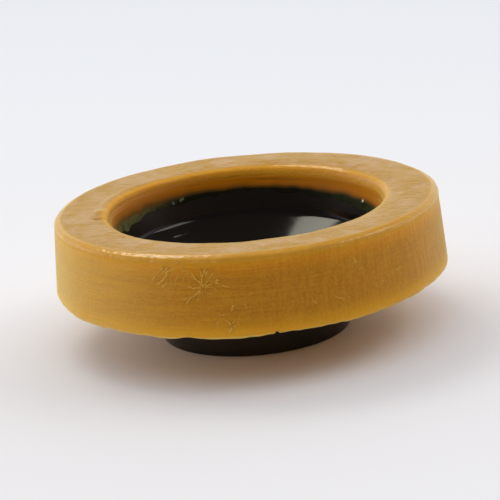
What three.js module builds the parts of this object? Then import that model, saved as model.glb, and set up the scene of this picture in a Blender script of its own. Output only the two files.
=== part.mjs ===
// Toilet pan seal: a ring of soft petroleum wax, poured round a black polyethylene horn.
// The closet bowl is pressed down on the wax, and the horn's tube hangs into the drain pipe.
// Millimetres, +Z up. The origin is the centre of the horn's foot, the lowest point.

import * as THREE from 'three';

// Radii of the horn, each measured outwards from the one before it
const TUBE_BORE_RADIUS = 31.9;
const SHOULDER_WIDTH = 12.6;
const CUP_FLARE = 3.4;
const FLANGE_WIDTH = 9.1;

// Heights of the horn, each measured upwards from the one before it
const TUBE_BELOW_WAX = 18.4;
const TUBE_IN_WAX = 3.5;
const SHOULDER_RISE = 7.6;
const CUP_RISE = 11.5;

// The horn's wall, and the turned-in end that guides it into the pipe
const HORN_WALL = 2;
const FOOT_TAPER = 1.5;
const FOOT_HEIGHT = 4;
const FOOT_ROUND = 0.6;
const TUBE_BEND_ROUND = 3;
const BEND_ROUND = 1.2;
const FLANGE_EDGE_ROUND = 0.8;

// The wax beyond the horn's flange and over it, with the draft of the mould on both walls
const WAX_BEYOND_FLANGE = 13;
const WAX_OVER_FLANGE = 6;
const WALL_DRAFT = 1.9;
const MOUTH_DRAFT = 1.6;
const WAX_TOP_ROUND = 2.2;
const WAX_FOOT_ROUND = 3.1;
const MOUTH_ROUND = 2.3;
const MOUTH_LIP_ROUND = 0.5;

// The wax is poured on the horn, and this gap keeps the two solids apart
const CLEARANCE = 0.3;

// A poured wall isn't truly round: it strays by this much at its foot, and less at its top
const WALL_WANDER = 0.35;
const TOP_WANDER_SHARE = 0.4;
const WANDER_WAVES = [
  { count: 3, phase: 0.6 },
  { count: 7, phase: 2.1 },
  { count: 13, phase: 4.0 },
];

// Fineness of the mesh: steps round the axis, and the turn of one step in a rounded corner
const STEPS_ROUND_AXIS = 72;
const ARC_STEP_ANGLE = THREE.MathUtils.degToRad(30);

// Sizes that follow from those above
const creaseRadius = TUBE_BORE_RADIUS + SHOULDER_WIDTH;
const cupRadius = creaseRadius + CUP_FLARE;
const flangeRadius = cupRadius + FLANGE_WIDTH;
const waxRadius = flangeRadius + WAX_BEYOND_FLANGE;
const throatHeight = TUBE_BELOW_WAX + TUBE_IN_WAX;
const creaseHeight = throatHeight + SHOULDER_RISE;
const flangeHeight = creaseHeight + CUP_RISE;
const waxTopHeight = flangeHeight + WAX_OVER_FLANGE;

// One corner of a section: its distance from the axis, its height and its rounding
function corner(radius, height, round = 0) {
  return { at: new THREE.Vector2(radius, height), round };
}

// The face of the horn that the water meets, from its foot up and out to the flange's edge.
// A bend is given by the radius in its hollow, which lies in the wall's other face at two of them.
const boreLine = [
  corner(TUBE_BORE_RADIUS - FOOT_TAPER, 0, FOOT_ROUND),
  corner(TUBE_BORE_RADIUS, FOOT_HEIGHT, TUBE_BEND_ROUND),
  corner(TUBE_BORE_RADIUS, throatHeight, BEND_ROUND + HORN_WALL),
  corner(creaseRadius, creaseHeight, BEND_ROUND),
  corner(cupRadius, flangeHeight, BEND_ROUND + HORN_WALL),
  corner(flangeRadius, flangeHeight, FLANGE_EDGE_ROUND),
];

// The unit vector that points out of the horn's wall, square to one stretch of its line
function outwardNormal(from, to) {
  const along = to.clone().sub(from).normalize();
  return new THREE.Vector2(along.y, -along.x);
}

// The same line moved outwards through the wall, with its stretches mitred where they meet
// and its bends kept concentric. Its ends move straight: out at the foot, down at the flange.
function offsetLine(line, distance) {
  const last = line.length - 1;
  return line.map(({ at, round }, index) => {
    const before = index > 0 ? outwardNormal(line[index - 1].at, at) : null;
    const after = index < last ? outwardNormal(at, line[index + 1].at) : null;
    if (!before) {
      return corner(at.x + distance / after.x, at.y, round);
    }
    if (!after) {
      return corner(at.x, at.y - distance, round);
    }
    const mitre = before.clone().add(after).normalize();
    const moved = at.clone().addScaledVector(mitre, distance / mitre.dot(before));
    const bend = Math.sign(before.cross(after));
    return { at: moved, round: Math.max(0, round + bend * distance) };
  });
}

// The closed outline through some corners, each rounded by an arc that its two sides can hold
function roundedOutline(corners) {
  const longestShare = 0.45;
  const outline = [];
  corners.forEach(({ at, round }, index) => {
    const previous = corners[(index + corners.length - 1) % corners.length].at;
    const next = corners[(index + 1) % corners.length].at;
    const back = previous.clone().sub(at);
    const ahead = next.clone().sub(at);
    const room = longestShare * Math.min(back.length(), ahead.length());
    back.normalize();
    ahead.normalize();
    const halfAngle = Math.acos(THREE.MathUtils.clamp(back.dot(ahead), -1, 1)) / 2;
    const reach = Math.min(round / Math.tan(halfAngle), room);
    const radius = reach * Math.tan(halfAngle);
    if (round === 0) {
      outline.push(at.clone());
      return;
    }
    const centre = back.clone().add(ahead).normalize();
    centre.multiplyScalar(radius / Math.sin(halfAngle)).add(at);
    const start = at.clone().addScaledVector(back, reach).sub(centre).angle();
    const end = at.clone().addScaledVector(ahead, reach).sub(centre).angle();
    const turn = Math.atan2(Math.sin(end - start), Math.cos(end - start));
    const steps = Math.ceil(Math.abs(turn) / ARC_STEP_ANGLE);
    for (let step = 0; step <= steps; step += 1) {
      const angle = start + (turn * step) / steps;
      outline.push(new THREE.Vector2(
        centre.x + radius * Math.cos(angle),
        centre.y + radius * Math.sin(angle),
      ));
    }
  });
  outline.push(outline[0].clone());
  return outline;
}

// A ring turned from a closed section, stood up so that its axis is +Z
function turnedRing(corners) {
  const ring = new THREE.LatheGeometry(roundedOutline(corners), STEPS_ROUND_AXIS);
  ring.rotateX(Math.PI / 2);
  return ring;
}

// The horn: one moulding of even wall, with a tube, a sloped shoulder, a cup and a flange
function hornGeometry() {
  const outerLine = offsetLine(boreLine, HORN_WALL);
  return turnedRing([...outerLine, ...boreLine.slice().reverse()]);
}

// How far the poured wall strays outwards at one angle round the axis, from -1 to 1
function wander(angle) {
  const waves = WANDER_WAVES.map(({ count, phase }) => Math.sin(count * angle + phase));
  return waves.reduce((sum, wave) => sum + wave, 0) / waves.length;
}

// Moves the outer wall in and out along its radius, so the two flat faces stay flat
function strayWall(ring) {
  const place = ring.attributes.position;
  const wallStart = flangeRadius + WAX_BEYOND_FLANGE / 2;
  for (let index = 0; index < place.count; index += 1) {
    const x = place.getX(index);
    const y = place.getY(index);
    const radius = Math.hypot(x, y);
    if (radius > wallStart) {
      const rise = (place.getZ(index) - TUBE_BELOW_WAX) / (waxTopHeight - TUBE_BELOW_WAX);
      const share = THREE.MathUtils.lerp(1, TOP_WANDER_SHARE, rise);
      const stretch = 1 + (WALL_WANDER * share * wander(Math.atan2(y, x))) / radius;
      place.setXY(index, x * stretch, y * stretch);
    }
  }
  return ring;
}

// The wax ring: it closes over the flange and under it, and keeps the clearance all round
function waxGeometry() {
  const edgeRound = FLANGE_EDGE_ROUND + CLEARANCE;
  const outerLine = offsetLine(boreLine, HORN_WALL + CLEARANCE);
  const underFlange = outerLine.slice(3, 5).reverse();
  const tubeRadius = outerLine[2].at.x;
  const grooveRadius = flangeRadius + CLEARANCE;
  const grooveFloor = flangeHeight - HORN_WALL - CLEARANCE;
  return strayWall(turnedRing([
    corner(waxRadius, TUBE_BELOW_WAX, WAX_FOOT_ROUND),
    corner(waxRadius - WALL_DRAFT, waxTopHeight, WAX_TOP_ROUND),
    corner(cupRadius + MOUTH_DRAFT, waxTopHeight, MOUTH_ROUND),
    corner(cupRadius, flangeHeight + CLEARANCE, MOUTH_LIP_ROUND),
    corner(grooveRadius, flangeHeight + CLEARANCE, edgeRound),
    corner(grooveRadius, grooveFloor, edgeRound),
    ...underFlange,
    outerLine[2],
    corner(tubeRadius, TUBE_BELOW_WAX),
  ]));
}

const waxMaterial = new THREE.MeshStandardMaterial({
  color: '#c8984a',
  roughness: 0.45,
  metalness: 0,
});
const hornMaterial = new THREE.MeshStandardMaterial({
  color: '#16110d',
  roughness: 0.3,
  metalness: 0,
});

const horn = new THREE.Mesh(hornGeometry(), hornMaterial);
horn.name = 'horn';

const waxRing = new THREE.Mesh(waxGeometry(), waxMaterial);
waxRing.name = 'wax_ring';

const panSeal = new THREE.Group();
panSeal.add(horn, waxRing);

export default panSeal;
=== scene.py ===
# A toilet pan seal: a ring of poured wax round a black plastic horn, standing on the horn's tube.
from math import atan2, cos, pi, radians, sin

import bpy
import numpy as np
from mathutils import Euler, Matrix, Vector


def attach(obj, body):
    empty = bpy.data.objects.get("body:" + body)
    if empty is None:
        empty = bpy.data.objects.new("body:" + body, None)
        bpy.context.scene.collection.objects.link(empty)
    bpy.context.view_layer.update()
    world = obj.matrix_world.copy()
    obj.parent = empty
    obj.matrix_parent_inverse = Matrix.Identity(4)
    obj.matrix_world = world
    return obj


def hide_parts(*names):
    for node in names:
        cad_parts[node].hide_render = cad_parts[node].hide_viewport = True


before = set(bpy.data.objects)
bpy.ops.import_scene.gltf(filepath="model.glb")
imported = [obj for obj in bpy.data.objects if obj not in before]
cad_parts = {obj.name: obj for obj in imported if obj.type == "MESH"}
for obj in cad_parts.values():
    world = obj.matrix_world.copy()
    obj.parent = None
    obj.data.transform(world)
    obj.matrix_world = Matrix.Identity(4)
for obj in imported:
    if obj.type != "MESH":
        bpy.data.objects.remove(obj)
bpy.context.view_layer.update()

MM = 0.001

# The camera. A long lens looks down on the mouth at about 18 degrees.
# The photograph's frame is turned a few degrees, so the camera is rolled by as much.
CAMERA_DISTANCE = 0.9
CAMERA_ELEVATION = radians(17.98)
CAMERA_PITCH = radians(16.237)
CAMERA_ROLL = radians(-5.352)
FOCAL_LENGTH = 180.1
SENSOR_WIDTH = 36


def placed(name, data):
    """A new object in the scene, which shows the data."""
    made = bpy.data.objects.new(name, data)
    bpy.context.scene.collection.objects.link(made)
    return made


lens = bpy.data.cameras.new("camera")
lens.lens = FOCAL_LENGTH
lens.sensor_width = SENSOR_WIDTH
camera = placed("camera", lens)
camera.location = (
    0,
    -CAMERA_DISTANCE * cos(CAMERA_ELEVATION),
    CAMERA_DISTANCE * sin(CAMERA_ELEVATION),
)
looking = Euler((pi / 2 - CAMERA_PITCH, 0, 0)).to_matrix() @ Matrix.Rotation(CAMERA_ROLL, 3, "Z")
camera.rotation_euler = looking.to_euler()
bpy.context.scene.camera = camera
bpy.context.scene.view_settings.view_transform = "Standard"


# The floor and the room round it: one plain pale sheet, and soft pale light that is
# brighter behind the seal than in front of it. Neither is part of the seal.
class Value:
    """The output of a node, so that a sum on it reads as plain arithmetic."""

    def __init__(self, finish, socket):
        self.finish = finish
        self.socket = socket

    def math(self, operation, *terms):
        return self.finish.node("ShaderNodeMath", {"operation": operation}, dict(enumerate(terms)))

    def __add__(self, other):
        return self.math("ADD", self, other)

    __radd__ = __add__

    def __sub__(self, other):
        return self.math("SUBTRACT", self, other)

    def __rsub__(self, other):
        return self.math("SUBTRACT", other, self)

    def __mul__(self, other):
        return self.math("MULTIPLY", self, other)

    __rmul__ = __mul__

    def between(self, low, high):
        """0 below low and 1 above high, with a soft step from one to the other."""
        settings = {"interpolation_type": "SMOOTHSTEP"}
        return self.finish.node("ShaderNodeMapRange", settings, {0: self, 1: low, 2: high})


class Finish:
    """A node tree, in which every node is made by one method."""

    def __init__(self, tree):
        self.tree = tree

    def node(self, kind, settings=None, inputs=None, output=0):
        made = self.tree.nodes.new(kind)
        for name, value in (settings or {}).items():
            setattr(made, name, value)
        for name, value in (inputs or {}).items():
            self.plug(made, name, value)
        return Value(self, made.outputs[output])

    def plug(self, made, name, value):
        if isinstance(value, Value):
            self.tree.links.new(value.socket, made.inputs[name])
        else:
            made.inputs[name].default_value = value

    def mix(self, share, first, second):
        """The first colour where the share is 0, and the second where it is 1."""
        settings = {"data_type": "RGBA"}
        return self.node("ShaderNodeMix", settings, {0: share, 6: first, 7: second}, 2)

    def noise(self, place, scale, detail=2.0, roughness=0.5):
        inputs = {"Vector": place, "Scale": scale, "Detail": detail, "Roughness": roughness}
        return self.node("ShaderNodeTexNoise", {}, inputs)

    def stretch(self, place, shares):
        """The place with each axis scaled by its own share."""
        return self.node("ShaderNodeVectorMath", {"operation": "MULTIPLY"}, {0: place, 1: shares})

    def axes(self, place):
        """The three numbers of a place."""
        split = self.node("ShaderNodeSeparateXYZ", {}, {0: place}).socket.node
        return [Value(self, socket) for socket in split.outputs]

    def place_in_mm(self):
        """The place on the piece, in millimetres."""
        place = self.node("ShaderNodeTexCoord", output="Object")
        return self.node("ShaderNodeVectorMath", {"operation": "SCALE"}, {0: place, "Scale": 1 / MM})

    def emboss(self, shader, relief):
        """Bends the shader's normals by a relief in millimetres."""
        bump = self.node("ShaderNodeBump", {}, {"Height": relief, "Distance": MM})
        self.plug(shader, "Normal", bump)


def new_material(name):
    """A new material, with its node tree and its surface shader."""
    material = bpy.data.materials.new(name)
    material.use_nodes = True
    return material, Finish(material.node_tree), material.node_tree.nodes["Principled BSDF"]


def rgb(red, green, blue):
    """A colour as it is read off a screen, from 0 to 255, turned into the shader's own scale."""
    linear = []
    for channel in (red, green, blue):
        share = channel / 255
        linear.append(share / 12.92 if share <= 0.04045 else ((share + 0.055) / 1.055) ** 2.4)
    return (*linear, 1.0)


FLOOR_SIZE = 8.0
FLOOR_COLOUR = rgb(231, 229, 229)
FAR_FLOOR_COLOUR = rgb(222, 224, 227)
SKY_COLOUR = rgb(232, 234, 240)
ROOM_ABOVE = 1.16
ROOM_ROUND = 1.7
WINDOW_LIGHT = 1.5
BACKDROP_GLARE = 0.8
DARK_GLARE = 0.08

# Soft edges between the parts of the room, each from where a part starts to where it is full
FAR_FLOOR_EDGE = (-0.05, 0.5)
OPEN_SIDE_EDGE = (-0.1, 0.9)
WINDOW_EDGE = (0.3, 0.95)
WINDOW_HEAD = (0.2, 0.5)
CEILING_EDGE = (0.45, 0.85)
BACKDROP_EDGE = (-0.35, 0.3)
BACKDROP_HEAD = (0.3, 0.62)

floor_material, floor_finish, floor_shader = new_material("floor_sheet")
floor_place = floor_finish.node("ShaderNodeTexCoord", output="Object")
floor_depth = floor_finish.axes(floor_place)[1]
floor_colour = floor_finish.mix(floor_depth.between(*FAR_FLOOR_EDGE), FLOOR_COLOUR, FAR_FLOOR_COLOUR)
floor_finish.plug(floor_shader, "Base Color", floor_colour)
floor_finish.plug(floor_shader, "Roughness", 0.9)
floor_finish.plug(floor_shader, "Specular IOR Level", 0.1)

half_floor = FLOOR_SIZE / 2
floor_mesh = bpy.data.meshes.new("floor_sheet")
floor_corners = [(-half_floor, -half_floor, 0), (half_floor, -half_floor, 0),
                 (half_floor, half_floor, 0), (-half_floor, half_floor, 0)]
floor_mesh.from_pydata(floor_corners, [], [(0, 1, 2, 3)])
floor_mesh.materials.append(floor_material)
floor_sheet = placed("floor_sheet", floor_mesh)

room = bpy.data.worlds.new("room")
room.use_nodes = True
bpy.context.scene.world = room
room_finish = Finish(room.node_tree)
towards = room_finish.axes(room_finish.node("ShaderNodeTexCoord", output="Generated"))
sideways = towards[0].math("ABSOLUTE", towards[0])
openness = (towards[1] + 0.6 * sideways - 0.1 * towards[0]).between(*OPEN_SIDE_EDGE)
window = (0.05 * towards[1] - towards[0]).between(*WINDOW_EDGE)
window = window * (1 - towards[2].between(*WINDOW_HEAD))
low_light = openness * ROOM_ROUND + WINDOW_LIGHT * window
overhead = towards[2].between(*CEILING_EDGE)
room_light = overhead * (ROOM_ABOVE - low_light) + low_light
backdrop = towards[1].between(*BACKDROP_EDGE) * (1 - towards[2].between(*BACKDROP_HEAD))
glare = backdrop * (BACKDROP_GLARE - DARK_GLARE) + DARK_GLARE
seen = room_finish.node("ShaderNodeLightPath", output="Is Camera Ray")
mirrored = room_finish.node("ShaderNodeLightPath", output="Is Glossy Ray")
sky = room.node_tree.nodes["Background"]
room_finish.plug(sky, "Color", SKY_COLOUR)
felt = room_light + mirrored * (glare - room_light)
room_finish.plug(sky, "Strength", seen + (1 - seen) * felt)


def softbox(name, azimuth, elevation, distance, size, brightness, colour):
    """A lamp behind a white cloth. Azimuth 0 is behind the seal and 90 to its right."""
    lamp = bpy.data.lights.new(name, "AREA")
    lamp.shape = "RECTANGLE"
    lamp.size, lamp.size_y = size
    lamp.energy = brightness * pi * size[0] * size[1]
    lamp.color = colour
    holder = placed(name, lamp)
    side, up = radians(azimuth), radians(elevation)
    away = Vector((sin(side) * cos(up), cos(side) * cos(up), sin(up)))
    holder.location = away * distance
    holder.rotation_euler = away.to_track_quat("Z", "Y").to_euler()


softbox("left_softbox", -34, 56, 1.15, (0.6, 0.32), 4.1, (1.0, 0.95, 0.81))
softbox("right_softbox", 84, 45, 1.3, (0.8, 0.4), 2.0, (1.0, 0.96, 0.85))


# The wax ring: soft honey-coloured petroleum wax, poured hot round the horn's flange.
# Its wall has drawn lines from the mould and creases from its wrapper, and its edges are ragged.
def unit(vector):
    return vector / np.linalg.norm(vector)


def section_points(corners):
    """Points along a closed section. A corner is (radius, height, rounding, step after it)."""
    arcs = []
    for index, (radius, height, rounding, _) in enumerate(corners):
        here = np.array((radius, height))
        back = unit(np.array(corners[index - 1][:2]) - here)
        ahead = unit(np.array(corners[(index + 1) % len(corners)][:2]) - here)
        half = np.arccos(back @ ahead) / 2
        centre = here + unit(back + ahead) * rounding / sin(half)
        reach = rounding / np.tan(half)
        start = atan2(*(here + back * reach - centre)[::-1])
        end = atan2(*(here + ahead * reach - centre)[::-1])
        turn = (end - start + pi) % (2 * pi) - pi
        steps = max(1, round(abs(turn) * rounding / ARC_STEP))
        angles = start + turn * np.linspace(0, 1, steps + 1)
        arcs.append(centre + rounding * np.stack([np.cos(angles), np.sin(angles)], 1))
    points = []
    for index, arc in enumerate(arcs):
        following = arcs[(index + 1) % len(arcs)][0]
        points.extend(arc)
        gap = following - arc[-1]
        steps = max(1, round(np.linalg.norm(gap) / corners[index][3]))
        points.extend(arc[-1] + gap * step / steps for step in range(1, steps))
    return np.array(points)


def section_normals(points):
    """The direction that points out of the section at each of its points."""
    along = np.roll(points, -1, 0) - np.roll(points, 1, 0)
    along /= np.linalg.norm(along, axis=1)[:, None]
    return np.stack([along[:, 1], -along[:, 0]], 1)


def moved_out(line, distance):
    """The same line moved through the wall, with mitred corners and concentric bends."""
    spots = [np.array(point[:2]) for point in line]
    normals = []
    for start, end in zip(spots, spots[1:]):
        along = unit(end - start)
        normals.append(np.array((along[1], -along[0])))
    moved = [(spots[0][0] + distance / normals[0][0], spots[0][1], *line[0][2:])]
    for spot, before, after, (_, _, rounding, step) in zip(spots[1:], normals, normals[1:], line[1:]):
        mitre = unit(before + after)
        bend = np.sign(before[0] * after[1] - before[1] * after[0])
        place = spot + mitre * distance / (mitre @ before)
        moved.append((*place, rounding + bend * distance, step))
    moved.append((spots[-1][0], spots[-1][1] - distance, *line[-1][2:]))
    return moved


def ripple(places, length, seed, waves=18):
    """Smooth lumps about that length across, mostly between -1 and 1, at points in millimetres."""
    random = np.random.default_rng(seed)
    directions = random.normal(size=(waves, 3))
    directions /= np.linalg.norm(directions, axis=1)[:, None]
    directions *= random.uniform(0.6, 1.5, waves)[:, None] * pi / length
    phases = random.uniform(0, 2 * pi, waves)
    total = np.zeros(places.shape[:-1])
    for direction, phase in zip(directions, phases):
        total += np.sin(places @ direction + phase)
    return total / np.sqrt(waves)


def hump(distance, width):
    return np.exp(-(distance / width) ** 2)


def round_axis(azimuths, radii, heights):
    """Places round the axis. Azimuth 0 faces the camera and pi / 2 is to the right."""
    return np.stack([radii * np.sin(azimuths), -radii * np.cos(azimuths), heights], -1)


def ring_object(name, places, material):
    """A closed ring through a grid of places: one row for each azimuth, in millimetres."""
    columns, rows = places.shape[:2]
    near = np.arange(columns)[:, None]
    along = np.arange(rows)[None, :]
    far = (near + 1) % columns
    after = (along + 1) % rows
    faces = np.stack([near * rows + along, far * rows + along,
                      far * rows + after, near * rows + after], -1).reshape(-1, 4)
    mesh = bpy.data.meshes.new(name)
    mesh.from_pydata((places.reshape(-1, 3) * MM).tolist(), [], faces.tolist())
    mesh.shade_smooth()
    mesh.materials.append(material)
    return placed(name, mesh)


# The step of a mesh round a corner, and the sizes of the two solids, in millimetres
ARC_STEP = 0.36
CLEARANCE = 0.3
WAX_RADIUS = 70.0
WAX_FOOT = 18.4
WAX_TOP = 47.0
WALL_DRAFT = 1.9
MOUTH_RADIUS = 49.5
CUP_RADIUS = 47.9
LIP_HEIGHT = 41.0
FLANGE_RADIUS = 57.0
HORN_WALL = 2.0
TUBE_RADIUS = 33.9
CREASE_RADIUS = 44.5
CREASE_HEIGHT = 29.5
THROAT_HEIGHT = 21.9

# The horn's lip is this much too low at the right and too high at the left, and the wall round
# it follows: some heights, with the share of the lean at each
ASKEW = 2.0
MOUTH_LEAN = ([17, CREASE_HEIGHT, 40, 41.3, 44.7], [0, 0.6, 1, 1, 0])

# The corners of the wax, and the narrow bevel round the outside of its top
WAX_FOOT_ROUND = 3.1
BEVEL_WIDTH = 1.9
BEVEL_DEPTH = 1.05
BEVEL_FOOT_RADIUS = 68.15
BEVEL_FOOT_ROUND = 1.4
BEVEL_HEAD_ROUND = 2.0
MOUTH_ROUND = 2.3
GROOVE_ROUND = 1.1

# The horn's face that the water meets, from its foot to the flange's edge. A corner of a section
# is its radius, its height, its rounding and about the step of the mesh after it.
BORE_RADIUS = TUBE_RADIUS - HORN_WALL
bore_line = [
    (BORE_RADIUS - 0.1, 0, 0.6, 0.5),
    (BORE_RADIUS, 4, 3.0, 1.5),
    (BORE_RADIUS, THROAT_HEIGHT, 3.2, 0.8),
    (CREASE_RADIUS, CREASE_HEIGHT, 3.0, 0.8),
    (CUP_RADIUS, LIP_HEIGHT, 3.2, 1.5),
    (FLANGE_RADIUS, LIP_HEIGHT, 0.8, 1.5),
]
groove = moved_out(bore_line, HORN_WALL + CLEARANCE)

wax_corners = [
    (WAX_RADIUS, WAX_FOOT, WAX_FOOT_ROUND, 0.44),
    (BEVEL_FOOT_RADIUS, WAX_TOP - BEVEL_DEPTH, BEVEL_FOOT_ROUND, 0.4),
    (WAX_RADIUS - WALL_DRAFT - BEVEL_WIDTH, WAX_TOP, BEVEL_HEAD_ROUND, 0.72),
    (MOUTH_RADIUS, WAX_TOP, MOUTH_ROUND, 0.6),
    (CUP_RADIUS, LIP_HEIGHT + CLEARANCE, 0.4, 3.0),
    (FLANGE_RADIUS + CLEARANCE, LIP_HEIGHT + CLEARANCE, GROOVE_ROUND, 1.0),
    (FLANGE_RADIUS + CLEARANCE, LIP_HEIGHT - HORN_WALL - CLEARANCE, GROOVE_ROUND, 3.0),
    *[(radius, height, 1.0, 4.0) for radius, height, *_ in groove[4:1:-1]],
    (TUBE_RADIUS + CLEARANCE, WAX_FOOT, 0.6, 2.6),
]
wax_section = section_points(wax_corners)
wax_normals = section_normals(wax_section)

# The side that the camera sees has the finer columns. Azimuths run from -pi to pi.
FINE_HALF = radians(70)
FINE_STEP = radians(0.34)
COARSE_COLUMNS = 200
fine = np.arange(-FINE_HALF, FINE_HALF, FINE_STEP)
coarse = np.linspace(FINE_HALF, 2 * pi - FINE_HALF, COARSE_COLUMNS, endpoint=False)
azimuths = np.concatenate([fine, coarse])[:, None]
azimuths = np.where(azimuths > pi, azimuths - 2 * pi, azimuths)
degrees = np.degrees(azimuths)
radius = wax_section[:, 0][None, :]
height = wax_section[:, 1][None, :]

# The poured wall strays from a true round in waves: how often each comes round, and its phase
WALL_WANDER = 0.35
TOP_STEADIER = 0.6
WANDER_WAVES = [(3, 0.6), (7, 2.1), (13, 4.0)]


def askew(azimuths, heights, upright):
    """How far the horn's leaning lip lifts or lowers a height that is upright at given shares."""
    return -ASKEW * np.sin(azimuths) * np.interp(heights, *upright)


def straying(azimuths, rise):
    """How far the poured wall strays outwards, as it does in the solid."""
    compass = azimuths - pi / 2
    waves = sum(np.sin(count * compass + phase) for count, phase in WANDER_WAVES)
    return WALL_WANDER * waves / len(WANDER_WAVES) * (1 - TOP_STEADIER * rise)


OUTER_WALL_FROM = 63.5
INNER_SIDE_TO = 60.0
outer_wall = radius > OUTER_WALL_FROM
inner_side = radius < INNER_SIDE_TO
rise = (height - WAX_FOOT) / (WAX_TOP - WAX_FOOT)
stray = straying(azimuths, rise) * outer_wall
base = round_axis(azimuths, radius + 0 * azimuths, height + 0 * azimuths)

# The ragged lower edge: azimuths in degrees, each with how far the edge is lifted there. The lift
# is strongest just above the wax's foot, and dies out over its width.
LOWER_EDGE = [
    (-180, 0.0), (-32, 0.0), (-25.8, -0.4), (-22, 0.15), (-17.5, 0.25), (-14, -0.2), (-8, -0.25),
    (0, 0.0), (4.7, 0.0), (5.4, 1.0), (6.2, 0.15), (12, 0.0), (25, 0.1), (26.5, -0.3), (34, -0.1),
    (46, 0.0), (48, 0.3), (55, 0.1), (61, 0.25), (64, 0.0), (180, 0.0),
]
LOWER_EDGE_LIFT = 0.6
LOWER_EDGE_WIDTH = 2.2
LOWER_EDGE_FROM = 62
EDGE_SAG = 0.05
nicks = np.interp(degrees, *zip(*LOWER_EDGE))
frayed = 0.07 * ripple(base * (1, 1, 0.3), 9, 7) + 0.1 * ripple(base, 2.4, 8)
lower_edge = hump(height - WAX_FOOT - LOWER_EDGE_LIFT, LOWER_EDGE_WIDTH) * (radius > LOWER_EDGE_FROM)
sag = lower_edge * (nicks - EDGE_SAG - frayed)


def swelling(places):
    return 0.05 * ripple(places, 16, 1) + 0.025 * ripple(places, 5, 2)


swell = swelling(base) * (outer_wall | (height > LIP_HEIGHT + 1))

# The wavy roll that was pinched up along the bevel, weaker at the back, and the mouth's soft edge
ROLL_DEPTH = 1.45
ROLL_RADIUS = 68.0
ROLL_WIDTH = 1.3
ROLL_RISE = 0.12
ROLL_ENDS_AT = 110
ROLL_FADE = 30
ROLL_LEFT_BEHIND = 0.2
MOUTH_EDGE_DEPTH = 0.6
MOUTH_EDGE_RADIUS = 50.6
roll_level = WAX_TOP - ROLL_DEPTH + 0.45 * ripple(base * (1, 1, 0), 9, 9)
upper_edge = hump(height - roll_level, ROLL_WIDTH) * hump(radius - ROLL_RADIUS, ROLL_WIDTH)
seen_side = np.clip((ROLL_ENDS_AT - np.abs(degrees)) / ROLL_FADE, ROLL_LEFT_BEHIND, 1)
beads = 0.07 * ripple(base, 6, 3) + 0.07 * ripple(base, 1.7, 4)
pinch = upper_edge * seen_side * (ROLL_RISE + beads)
mouth_edge = hump(height - WAX_TOP + MOUTH_EDGE_DEPTH, 1.6) * hump(radius - MOUTH_EDGE_RADIUS, 1.9)
soften = mouth_edge * (0.08 * ripple(base, 12, 5) + 0.04 * ripple(base, 3, 6))


def mark(azimuth, distance, size):
    """A soft spot on the top, with its azimuth in degrees and its size across and along."""
    across = (radius - distance) / size[0]
    along = (azimuths - radians(azimuth)) * radius / size[1]
    return np.exp(-across ** 2 - along ** 2) * (height > WAX_TOP - 2.5)


# The marks on the top: a pinched flap at the left of the mouth, with a pit before it and a low
# ridge behind it, and a short split at the front left
flap = 0.7 * mark(-93, 52.0, (2.0, 2.8)) - 1.0 * mark(-84, 52.4, (2.2, 1.4))
split = -0.4 * mark(-51, 54.6, (0.5, 2.2)) - 0.3 * mark(-60, 53.0, (0.5, 1.5))
ridge_reach = np.interp(degrees, [-150, -125, -104, -98], [0, 1, 1, 0])
ridge = 0.45 * hump(radius - 52.4, 1.0) * ridge_reach * (height > WAX_TOP - 1.0)

# The top sinks towards the mouth, most of all at the right and behind
RIM_DIP = (
    [-180, -150, -110, -60, 0, 60, 95, 125, 150, 180],
    [0.7, 0.3, 0.2, 0.5, 0.6, 0.7, 1.1, 1.4, 1.1, 0.7],
)
DIP_FROM_RADIUS = 56.5
DIP_FROM_HEIGHT = 42.2
dip_share = np.clip((DIP_FROM_RADIUS - radius) / 6, 0, 1) ** 1.5
dip_share = dip_share * np.clip((height - DIP_FROM_HEIGHT) / 3, 0, 1)
dip = np.interp(degrees, *RIM_DIP) * dip_share

outward = stray + swell + pinch + soften + flap + split + ridge
lean = askew(azimuths, height, MOUTH_LEAN) * inner_side
wax_places = round_axis(
    azimuths,
    radius + outward * wax_normals[:, 0],
    height + outward * wax_normals[:, 1] + sag + lean - dip,
)

WAX_COLOUR = rgb(182, 116, 14)
LEFT_SHEEN_COLOUR = rgb(212, 172, 82)
LOW_GLOW_COLOUR = rgb(230, 166, 26)
HIGH_GLOW_COLOUR = rgb(212, 134, 8)
EDGE_GLOW_COLOUR = rgb(208, 148, 20)
TOP_WAX_COLOUR = rgb(180, 126, 22)
BLOOM_AND_SHEEN_COLOUR = rgb(204, 162, 126)
LIT_INNER_COLOUR = rgb(234, 166, 20)
SHADED_INNER_COLOUR = rgb(200, 132, 24)
LIP_SHADE_COLOUR = rgb(190, 114, 14)
FLASH_GLOW_COLOUR = rgb(226, 198, 116)
LINE_COLOUR = rgb(236, 176, 44)
SHEEN_COLOUR = rgb(255, 247, 160)

# Soft borders between the kinds of surface, as distances from the axis
MOUTH_BORDER = (49.5, 51)
RIM_BORDER = (49.6, 52.6)
TOP_BORDER = (50.1, 52.6)
MOUTH_GLOSS_BORDER = (51.2, 51.8)
BEVEL_BORDER = (64.6, 66.6)
BEVEL_GLOSS_BORDER = (65.4, 66.2)
WALL_BORDER = (66, 69)

# Soft borders as distances to the right of the axis, and to the left for the side painted pale with
# sheen
WEAVE_SIDE = (-10, 15)
SHEEN_SIDE = (14, 66)
SHADED_MOUTH_SIDE = (10, 40)
GLOSSY_MOUTH_SIDE = (-36, -22)

# The wax is painted darkest at the horn's lip, as shade deep in the mouth, and the painted shade
# fades between these heights above it
LIP_SHADE = (0.8, 4.4)

wax_material, wax, wax_shader = new_material("poured_wax")
wax_place = wax.place_in_mm()
wax_side, _, wax_height = wax.axes(wax_place)
flat_place = wax.stretch(wax_place, (1, 1, 0))
wax_reach = wax.node("ShaderNodeVectorMath", {"operation": "LENGTH"}, {0: flat_place}, "Value")

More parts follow.
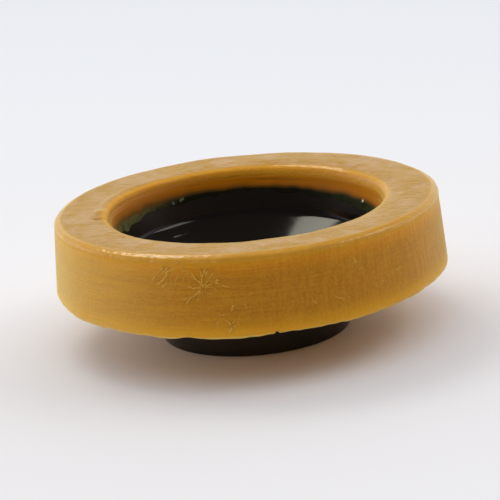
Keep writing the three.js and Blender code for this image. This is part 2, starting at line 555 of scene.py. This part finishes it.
# Where the flat top is, between the mouth's rounding and the bevel
past_rim = wax_reach.between(*RIM_BORDER)
level_enough = wax_height.between(WAX_TOP - 0.8 - 2.2 * past_rim, WAX_TOP - 0.3 - past_rim)
before_bevel = 1 - 0.95 * wax_reach.between(*BEVEL_BORDER)
on_top = level_enough * before_bevel * wax_reach.between(*TOP_BORDER)

# Lines drawn round the wall, a weave pressed into it from the front to the right, and brush marks
# on the top
drawn_lines = wax.noise(wax.stretch(wax_place, (0.05, 0.05, 1.4)), 1.0, 3, 0.6)
weave = wax.noise(wax.stretch(wax_place, (0.9, 0.9, 0.1)), 1.0, 2, 0.5)
brush_lines = wax.noise(wax.stretch(wax_place, (0.28, 1.1, 1.1)), 1.0, 4, 0.6)
blotches = wax.noise(wax_place, 0.11, 3, 0.55)
grain = wax.noise(wax_place, 1.1, 5, 0.7)
wall_lines = drawn_lines + 0.6 * wax_side.between(*WEAVE_SIDE) * (weave - drawn_lines)
streaks = wall_lines + on_top * (brush_lines - wall_lines)

# Painted glow and shade: the wax is painted lighter and yellower where light through thin wax or off
# the floor would brighten it, at its foot, its thin lower edge, under its top and on the bevel, and
# darker at the lip, as painted shade
low_glow = 1 - wax_height.between(WAX_FOOT, WAX_FOOT + 9)
high_glow = wax_height.between(WAX_TOP - 9, WAX_TOP - 2.5)
flash_glow = wax_reach.between(*WALL_BORDER) * (1 - wax_height.between(WAX_FOOT + 0.3, WAX_FOOT + 1.2))
inside = (1 - wax_reach.between(*MOUTH_BORDER)) * wax_height.between(WAX_FOOT + 9, WAX_FOOT + 12)
lip_level = LIP_HEIGHT - (ASKEW / CUP_RADIUS) * wax_side
lip_shade = 1 - (wax_height - lip_level).between(*LIP_SHADE)
# Pale patches on the top: partly the wax's own bloom, partly painted sheen of the bright backdrop
# glancing off the top
bloom_and_sheen = on_top * (0.46 * brush_lines.between(0.44, 0.58) + 0.36 * blotches.between(0.44, 0.6))
# Painted glow at the foot of the wall and under its top
wall_colour = wax.mix(low_glow, WAX_COLOUR, LOW_GLOW_COLOUR)
wall_colour = wax.mix(high_glow, wall_colour, HIGH_GLOW_COLOUR)
# Painted sheen: the left of the wall is painted paler and yellower, as light glancing off it from the
# left would make it
wall_colour = wax.mix(0.6 * (0 - wax_side).between(*SHEEN_SIDE), wall_colour, LEFT_SHEEN_COLOUR)
# Painted glow on the bevel and just under it, where light comes through the thin edge
bevel_glow = wax_height.between(WAX_TOP - 4.5, WAX_TOP - 1.8)
wall_colour = wax.mix(bevel_glow, wall_colour, EDGE_GLOW_COLOUR)
lines = 0.2 * wall_lines.between(0.35, 0.65) + 0.24 * grain.between(0.35, 0.65)
wall_colour = wax.mix(lines, wall_colour, LINE_COLOUR)
# Painted glow along the thin flash at the foot of the wall
wall_colour = wax.mix(0.7 * flash_glow, wall_colour, FLASH_GLOW_COLOUR)
outer_colour = wax.mix(on_top, wall_colour, TOP_WAX_COLOUR)
# Painted light and shade in the mouth: its wall is painted brighter than the outer wall, as lit from
# the front, and darker and browner to the right, as painted shade
mouth_right_shade = 0.6 * wax_side.between(*SHADED_MOUTH_SIDE)
painted_mouth_colour = wax.mix(mouth_right_shade, LIT_INNER_COLOUR, SHADED_INNER_COLOUR)
# Painted shade darkens the mouth's wall towards the lip
painted_mouth_colour = wax.mix(lip_shade, painted_mouth_colour, LIP_SHADE_COLOUR)
body_colour = wax.mix(inside * (1 - on_top), outer_colour, painted_mouth_colour)
wax.plug(wax_shader, "Base Color", wax.mix(bloom_and_sheen, body_colour, BLOOM_AND_SHEEN_COLOUR))
wax.plug(wax_shader, "Roughness", 0.3 + 0.16 * streaks + 0.1 * grain)
relief = 0.3 * streaks + 0.22 * grain + 0.1 * wax.noise(wax_place, 0.5, 2)
wax.emboss(wax_shader, relief)
wax.plug(wax_shader, "Subsurface Weight", 0.5)
wax.plug(wax_shader, "Subsurface Radius", (1.0, 0.72, 0.25))
wax.plug(wax_shader, "Subsurface Scale", 3 * MM)

# The bevel and the mouth's rim are smeared smooth, so they are glossier than the rest
edge_gloss = wax_height.between(WAX_TOP - 2.2, WAX_TOP - 1.5)
edge_gloss = edge_gloss * wax_reach.between(*BEVEL_GLOSS_BORDER)
mouth_gloss = wax_height.between(WAX_TOP - 3.6, WAX_TOP - 2.8)
mouth_gloss = mouth_gloss * (1 - wax_reach.between(*MOUTH_GLOSS_BORDER))
gloss = edge_gloss + 0.6 * mouth_gloss * wax_side.between(*GLOSSY_MOUTH_SIDE)
wax.plug(wax_shader, "Specular IOR Level", 0.16)
wax.plug(wax_shader, "Sheen Weight", 0.65)
wax.plug(wax_shader, "Sheen Roughness", 0.3)
wax.plug(wax_shader, "Sheen Tint", SHEEN_COLOUR)
wax.plug(wax_shader, "Coat Weight", gloss * (0.2 + 0.7 * grain.between(0.35, 0.6)))
wax.plug(wax_shader, "Coat Roughness", 0.17)
wax.plug(wax_shader, "Coat IOR", 1.9)

wax_ring = ring_object("poured_wax_ring", wax_places, wax_material)
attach(wax_ring, "root")
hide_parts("wax_ring")


# The creases: fine folds of the soft wall, pressed up by the wrapper that the ring was sold in.
# They run out from two puckers at the left front, and a few loose specks of wax lie among them.
# Each is a line of azimuths in degrees and heights in millimetres.
CREASES = [
    [(-20.0, 45.5), (-20.4, 43.9)],
    [(-20.2, 45.5), (-23.6, 41.7), (-25.0, 40.6)],
    [(-20.6, 45.0), (-24.6, 40.2), (-28.2, 36.8)],
    [(-21.3, 43.6), (-25.6, 41.0)],
    [(-22.5, 45.1), (-25.3, 41.6), (-26.3, 39.7)],
    [(-24.0, 44.8), (-27.4, 40.8), (-29.4, 37.9)],
    [(-22.0, 42.0), (-24.4, 38.4), (-26.6, 35.6)],
    [(-19.6, 45.2), (-18.9, 41.2), (-20.3, 37.1)],
    [(-18.8, 44.9), (-17.7, 42.3), (-17.9, 40.2)],
    [(-20.8, 41.4), (-21.9, 38.2)],
    [(-14.2, 37.1), (-10.1, 38.0), (-6.3, 36.4)],
    [(-14.2, 37.1), (-16.6, 36.4), (-18.2, 36.9)],
    [(-14.2, 37.1), (-14.1, 41.1), (-15.0, 44.8)],
    [(-14.2, 37.1), (-12.8, 38.6), (-10.0, 42.2)],
    [(-14.2, 37.4), (-15.6, 39.6), (-17.4, 42.0)],
    [(-14.0, 36.9), (-11.5, 36.6), (-9.4, 35.3)],
    [(-14.4, 36.8), (-16.4, 34.0), (-19.3, 31.1)],
    [(-14.4, 36.8), (-15.6, 32.2)],
    [(-14.3, 35.5), (-13.8, 32.7)],
    [(-13.8, 35.5), (-10.4, 33.9)],
    [(-14.2, 39.3), (-13.3, 41.7), (-12.4, 43.8)],
    [(-13.0, 40.2), (-11.2, 43.4)],
    [(-11.6, 38.2), (-8.3, 39.3)],
    [(-16.8, 33.4), (-18.6, 33.2), (-20.4, 32.0)],
    [(-6.7, 28.2), (-5.9, 30.2), (-2.6, 30.0), (-2.3, 28.9)],
    [(-6.7, 24.3), (-4.8, 25.0), (-5.8, 23.2), (-8.7, 20.4)],
    [(-4.4, 26.6), (-5.2, 24.2), (-4.2, 22.0)],
    [(-8.6, 25.9), (-7.2, 24.1), (-7.9, 22.0)],
    [(-10.0, 27.0), (-7.5, 27.5)],
    [(-11.8, 23.4), (-9.8, 25.5)],
    [(-34.7, 33.3), (-33.6, 31.9), (-34.2, 30.8)],
    [(-32.8, 31.0), (-32.0, 33.0)],
    [(-36.0, 31.6), (-34.9, 30.4)],
    [(29.1, 40.0), (30.9, 37.8)],
    [(30.6, 38.5), (29.6, 37.1)],
    [(42.8, 30.7), (46.6, 31.6)],
    [(42.3, 30.0), (41.2, 29.1)],
    [(16.0, 28.5), (17.6, 27.3)],
    [(21.7, 28.9), (25.3, 26.7)],
    [(38.3, 29.3), (39.3, 28.9)],
    [(29.5, 38.7), (30.5, 38.0)],
    [(9.5, 24.1), (10.5, 23.6)],
]

# A crease's section is given in shares of its half width, and of its rise or of its root
CREASE_HALF_WIDTH = 0.46
CREASE_RISE = 0.26
CREASE_ROOT = 0.25
CREASE_STEP = 0.4
CREASE_TAPER = 1.6
CREASE_SWAY = 0.16
CREASE_SECTION = [(-1, -0.3), (-0.55, 0.6), (0, 1), (0.55, 0.6), (1, -0.3), (0, -1)]


def on_wall(flat, proud):
    """A place on the wall from the unrolled one (length round it, height), standing proud by some."""
    azimuths = flat[..., 0] / WAX_RADIUS
    heights = flat[..., 1]
    rise = (heights - WAX_FOOT) / (WAX_TOP - WAX_FOOT)
    plain = WAX_RADIUS - WALL_DRAFT * rise
    wavy = straying(azimuths, rise) + swelling(round_axis(azimuths, plain, heights))
    return round_axis(azimuths, plain + wavy + proud, heights)


def fold(line):
    """Rings of places round one crease, which tapers to nothing at both of its ends."""
    corners = np.array([(radians(azimuth) * WAX_RADIUS, level) for azimuth, level in line])
    lengths = np.concatenate([[0], np.cumsum(np.linalg.norm(np.diff(corners, axis=0), axis=1))])
    count = max(4, int(lengths[-1] / CREASE_STEP) + 1)
    spots = np.linspace(0, lengths[-1], count)
    path = np.stack([np.interp(spots, lengths, corners[:, axis]) for axis in (0, 1)], 1)
    along = np.gradient(path, axis=0)
    along /= np.linalg.norm(along, axis=1)[:, None]
    across = np.stack([-along[:, 1], along[:, 0]], 1)
    ends = np.minimum(spots, spots[-1] - spots) / min(CREASE_TAPER, lengths[-1] / 2)
    broken = np.clip(0.7 + 0.4 * ripple(on_wall(path, 0), 1.4, 11), 0.1, 1.1)
    size = np.clip(ends, 0.08, 1) ** 0.5 * broken
    path = path + across * CREASE_SWAY * ripple(on_wall(path, 0), 1.2, 12)[:, None]
    section = np.array(CREASE_SECTION)
    half_width = CREASE_HALF_WIDTH * size[:, None, None]
    flat = path[:, None] + across[:, None] * section[None, :, :1] * half_width
    depth = np.where(section[:, 1] > 0, CREASE_RISE, CREASE_ROOT)
    return on_wall(flat, section[None, :, 1] * size[:, None] * depth)


DARK_FOLD_COLOUR = rgb(190, 128, 22)
PALE_FOLD_COLOUR = rgb(228, 172, 56)
fold_material, pressed, fold_shader = new_material("pressed_wax")
fold_grain = pressed.noise(pressed.place_in_mm(), 1.3, 4, 0.6)
fold_colour = pressed.mix(fold_grain.between(0.35, 0.65), DARK_FOLD_COLOUR, PALE_FOLD_COLOUR)
pressed.plug(fold_shader, "Base Color", fold_colour)
pressed.plug(fold_shader, "Roughness", 0.25 + 0.2 * fold_grain)
pressed.plug(fold_shader, "Specular IOR Level", 0.3)

fold_places = []
fold_faces = []
for line in CREASES:
    rings = fold(line)
    count, sides = rings.shape[:2]
    first = len(fold_places)
    fold_places.extend((rings.reshape(-1, 3) * MM).tolist())
    for ring in range(count - 1):
        for side in range(sides):
            after = (side + 1) % sides
            near = first + ring * sides
            far = near + sides
            fold_faces.append((near + side, far + side, far + after, near + after))
    last = first + (count - 1) * sides
    fold_faces.append(tuple(range(first, first + sides)))
    fold_faces.append(tuple(range(last, last + sides))[::-1])
fold_mesh = bpy.data.meshes.new("wall_creases")
fold_mesh.from_pydata(fold_places, [], fold_faces)
fold_mesh.shade_smooth()
fold_mesh.materials.append(fold_material)
creases = placed("wall_creases", fold_mesh)
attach(creases, "root")


# The horn: one glossy black polyethylene moulding of even wall. Its flange is caught in the wax,
# its cup and sloped shoulder lead the water down, and its straight tube hangs in the pipe.
HORN_COLUMNS = 600
INWARD_STEPS = [1.5, 1.5, 0.8, 0.8, 1.5, 0.5]
outer_line = moved_out(bore_line, HORN_WALL)
inward = [(*point[:3], step) for point, step in zip(bore_line[::-1], INWARD_STEPS)]
horn_section = section_points(outer_line + inward)
horn_normals = section_normals(horn_section)
turn = np.linspace(-pi, pi, HORN_COLUMNS, endpoint=False)[:, None]
turn_degrees = np.degrees(turn)
radius = horn_section[:, 0][None, :]
height = horn_section[:, 1][None, :]
horn_base = round_axis(turn, radius + 0 * turn, height + 0 * turn)


def unevenness(places):
    return 0.07 * ripple(places, 16, 21)


# Two low ridges where the plastic flowed together, on the shoulder at the back left. Each has the
# azimuths of its ends in degrees, its distance from the axis and its half width.
FLOW_RIDGES = [(-149, -140, 42.6, 0.5), (-145, -137, 40.8, 0.6)]
FLOW_RISE = 0.27
FLOW_TAPER = 3
flow = np.zeros_like(radius + turn)
for start, end, at, width in FLOW_RIDGES:
    bounds = [start - FLOW_TAPER, start, end, end + FLOW_TAPER]
    reach = np.interp(turn_degrees, bounds, [0, 1, 1, 0])
    flow = flow + FLOW_RISE * reach * hump(radius - at, width) * (horn_normals[:, 1] > 0.5)
uneven = unevenness(horn_base) * (height > 2) + flow
horn_lean = askew(turn, np.minimum(height, LIP_HEIGHT), MOUTH_LEAN)
horn_places = round_axis(
    turn,
    radius + uneven * horn_normals[:, 0],
    height + uneven * horn_normals[:, 1] + horn_lean,
)

PLASTIC_COLOUR = rgb(24, 17, 10)
SCUFFED_COLOUR = rgb(27, 21, 14)
horn_material, plastic, plastic_shader = new_material("black_polyethylene")
plastic_place = plastic.place_in_mm()
scuffs = plastic.noise(plastic.stretch(plastic_place, (0.5, 0.5, 2.0)), 0.6, 5, 0.65)
pebble = plastic.noise(plastic_place, 0.9, 3)
plastic_colour = plastic.mix(scuffs.between(0.55, 0.8), PLASTIC_COLOUR, SCUFFED_COLOUR)
plastic.plug(plastic_shader, "Base Color", plastic_colour)
cup_wall = plastic.axes(plastic_place)[2].between(CREASE_HEIGHT + 0.5, CREASE_HEIGHT + 3)
plastic.plug(plastic_shader, "Roughness", 0.06 + 0.12 * scuffs + 0.22 * cup_wall)
plastic.emboss(plastic_shader, 0.004 * pebble + 0.004 * scuffs)
plastic.plug(plastic_shader, "IOR", 1.5)
plastic.plug(plastic_shader, "Specular IOR Level", 0.46)

horn = ring_object("black_horn", horn_places, horn_material)
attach(horn, "root")
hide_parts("horn")


# The smear: wax that ran down over the horn's lip as the ring was poured. It carries the mouth's
# wall on without a step, and thins to a ragged edge on the black cup, where it looks olive green.
# The sizes are its head's height, its depth in the wall, its least thickness and its film's.
SMEAR_HEAD = 45.2
SMEAR_ROOT = 0.15
SMEAR_SKIN = 0.1
FILM_THICKNESS = 0.07
FILM_SWELL = 0.06
SMEAR_ROWS = 40

# The height of the smear's ragged foot at some azimuths, and how far past the lip it stays solid
SMEAR_AZIMUTHS = [-180, -150, -130, -110, -95, -60, 0, 60, 105, 117, 130, 148, 165, 180]
SMEAR_FOOT = [38.3, 37.5, 37.0, 36.4, 37.0, 38.0, 37.5, 36.0, 34.4, 34.0, 34.9, 35.8, 37.4, 38.3]
SOLID_REACH = [1.5, 2.0, 2.6, 2.8, 2.6, 2.0, 1.6, 1.6, 1.6, 1.7, 1.7, 1.6, 1.5, 1.5]

# Bubbles in the film, each with its azimuth in degrees, its height and its size
SMEAR_BUBBLES = [(115.5, 37.1, 0.7), (-149.0, 38.3, 0.7), (-150.4, 38.7, 0.6), (-145.0, 38.0, 0.8)]
BUBBLE_RISE = 0.35

rim = round_axis(turn, CUP_RADIUS + 0 * turn, 0 * turn)
lip = LIP_HEIGHT - ASKEW * np.sin(turn)
smear_foot = np.interp(turn_degrees, SMEAR_AZIMUTHS, SMEAR_FOOT)
smear_foot = smear_foot + 0.5 * ripple(rim, 7, 31) + 0.2 * ripple(rim, 2.6, 32)
down = np.linspace(0, 1, SMEAR_ROWS)[None, :]
smear_head = SMEAR_HEAD - np.interp(turn_degrees, *RIM_DIP)
smear_height = smear_head + (smear_foot - smear_head) * down

# The face that the smear lies on: the cup below the lip and the mouth above it, leaning with the lip
wall_heights = [CREASE_HEIGHT, LIP_HEIGHT, WAX_TOP]
wall_radii = [CREASE_RADIUS, CUP_RADIUS, MOUTH_RADIUS]
lean_levels = np.array([*MOUTH_LEAN[0][1:], WAX_TOP])
upright_radius = np.interp(lean_levels, wall_heights, wall_radii)
wall_radius = np.empty_like(smear_height)
for column, angle in enumerate(turn[:, 0]):
    leaning = lean_levels + askew(angle, lean_levels, MOUTH_LEAN)
    wall_radius[column] = np.interp(smear_height[column], leaning, upright_radius)
smear_base = round_axis(turn, wall_radius, smear_height)
above_lip = smear_height - lip
wax_share = np.clip(above_lip / 2 + 0.5, 0, 1)
skin = wax_share * swelling(smear_base) + (1 - wax_share) * unevenness(smear_base)
film = np.interp(smear_head - smear_height, [0, 0.8, 1.8], [-0.8, -0.25, FILM_THICKNESS])
patches = 0.9 + 0.25 * ripple(smear_base, 6, 33) + 0.2 * ripple(smear_base, 2.2, 34)
film = film + FILM_SWELL * (1 - wax_share) * np.clip(patches, 0, 1.5)
film = np.where(film > 0, film * np.clip((1 - down) * 5, 0.05, 1), film)
bubbles = np.zeros_like(film)
for azimuth, level, size in SMEAR_BUBBLES:
    across = (turn - radians(azimuth)) * CUP_RADIUS
    bubbles = bubbles + np.exp(-(across ** 2 + (smear_height - level) ** 2) / size ** 2)
film = film + BUBBLE_RISE * bubbles
reach = np.interp(turn_degrees, SMEAR_AZIMUTHS, SOLID_REACH)
depth = np.where(above_lip > 0, above_lip, 1.8 * above_lip / reach)
depth = depth + 0.2 * ripple(smear_base, 4, 35)
front_radius = wall_radius - film - skin
back_radius = np.maximum(wall_radius + SMEAR_ROOT, front_radius + SMEAR_SKIN)
front = round_axis(turn, front_radius, smear_height)
back = round_axis(turn, back_radius, smear_height)
smear_places = np.concatenate([front, back[:, ::-1]], 1)

FILM_LEFT_COLOUR = rgb(96, 94, 56)
FILM_BACK_COLOUR = rgb(30, 30, 18)
FILM_RIGHT_COLOUR = rgb(40, 48, 26)
FILM_THIN_COLOUR = rgb(34, 28, 15)
BROWN_WAX_COLOUR = rgb(104, 72, 24)
RUST_WAX_COLOUR = rgb(166, 98, 20)
SMEAR_LIT_COLOUR = rgb(226, 160, 26)
SMEAR_SHADED_COLOUR = rgb(188, 126, 26)
BUBBLE_SHADE_COLOUR = rgb(98, 110, 86)
BUBBLE_HIGHLIGHT_COLOUR = rgb(222, 224, 204)

# From the film up: each kind of wax, with the heights over the lip where it takes over; the last is
# the painted shade at the lip
FILM_TO_WAX = [
    (BROWN_WAX_COLOUR, (-3.0, -1.7)),
    (RUST_WAX_COLOUR, (-2.1, -0.8)),
    (LIP_SHADE_COLOUR, (-1.1, 0.5)),
]

smear_material, smeared, smear_shader = new_material("smeared_wax")
over_lip = smeared.node("ShaderNodeAttribute", {"attribute_name": "over_lip"}, output="Fac")
bubble = smeared.node("ShaderNodeAttribute", {"attribute_name": "bubble"}, output="Fac")
smear_place = smeared.place_in_mm()
smear_speckle = smeared.noise(smear_place, 0.3, 4, 0.55)
smear_side = smeared.axes(smear_place)[0]
tint = smeared.mix(smear_side.between(-41, -22), FILM_LEFT_COLOUR, FILM_BACK_COLOUR)
tint = smeared.mix(smear_side.between(20, 36), tint, FILM_RIGHT_COLOUR)
smear_colour = smeared.mix(smear_speckle.between(0.2, 0.6), FILM_THIN_COLOUR, tint)
for wax_kind, takes_over in FILM_TO_WAX:
    smear_colour = smeared.mix(over_lip.between(*takes_over), smear_colour, wax_kind)
# Painted light and shade, as on the mouth's wall: brighter to the left as lit, darker to the right as
# shade
upper_light_and_shade = smeared.mix(smear_side.between(0, 40), SMEAR_LIT_COLOUR, SMEAR_SHADED_COLOUR)
smear_colour = smeared.mix(over_lip.between(*LIP_SHADE), smear_colour, upper_light_and_shade)
# Painted highlight on the bubbles at the right, near white, and painted shade on those at the left
bubble_light_and_shade = smeared.mix(smear_side.between(-10, 10), BUBBLE_SHADE_COLOUR, BUBBLE_HIGHLIGHT_COLOUR)
smear_colour = smeared.mix(bubble.between(0.3, 0.8), smear_colour, bubble_light_and_shade)
smeared.plug(smear_shader, "Base Color", smear_colour)
smeared.plug(smear_shader, "Specular IOR Level", 0.06)
smeared.plug(smear_shader, "Sheen Weight", 0.3)
smeared.plug(smear_shader, "Sheen Roughness", 0.3)
smeared.plug(smear_shader, "Sheen Tint", SHEEN_COLOUR)
smeared.plug(smear_shader, "Roughness", 0.25 + 0.2 * smear_speckle)
smeared.emboss(smear_shader, 0.06 * smear_speckle)

smear = ring_object("wax_smear", smear_places, smear_material)
for name, values in (("over_lip", depth), ("bubble", bubbles)):
    both_faces = np.concatenate([values, values[:, ::-1]], 1).reshape(-1)
    attribute = smear.data.attributes.new(name, "FLOAT", "POINT")
    attribute.data.foreach_set("value", both_faces.astype(np.float32))
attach(smear, "root")
